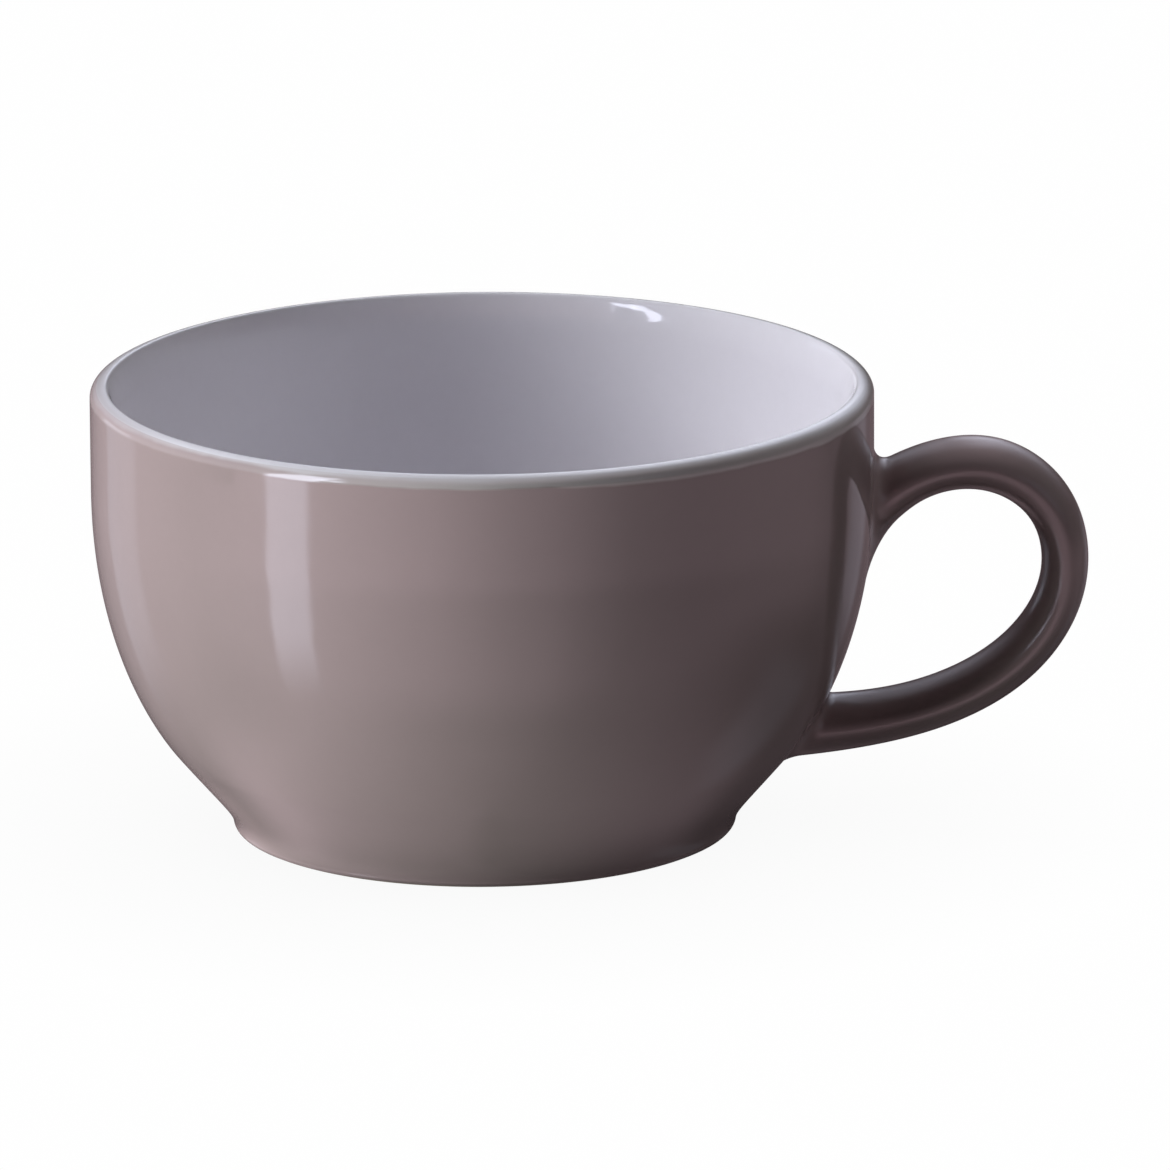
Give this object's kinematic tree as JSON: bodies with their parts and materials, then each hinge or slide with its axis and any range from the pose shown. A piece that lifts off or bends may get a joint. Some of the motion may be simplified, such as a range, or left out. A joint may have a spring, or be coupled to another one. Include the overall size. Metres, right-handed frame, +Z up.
{
  "type": "cappuccino cup",
  "caption": "Round-bellied cappuccino cup on a turned foot ring, with an oval-section loop handle, coloured glaze outside and white glaze inside and over the lip.",
  "frame": {"origin": "the bowl's axis at the plane of the foot ring, which is the surface the cup stands on", "axes": "+Z up along the bowl's axis, +X from the axis towards the handle, so the handle lies in the XZ plane and the cup mirrors across it"},
  "size_m": [0.1404, 0.11, 0.0638],
  "materials": {
    "bisque": "matt, unglazed",
    "slip": "matt, unglazed",
    "white_glaze": "gloss",
    "mauve_glaze": "gloss"
  },
  "bodies": {
    "root": {"clay_bowl": "bisque", "clay_handle": "bisque", "upper_luting": "slip", "lower_luting": "slip", "inner_glaze": "white_glaze", "outer_glaze": "mauve_glaze", "handle_glaze": "mauve_glaze", "foot_glaze": "mauve_glaze"}
  },
  "joints": []
}
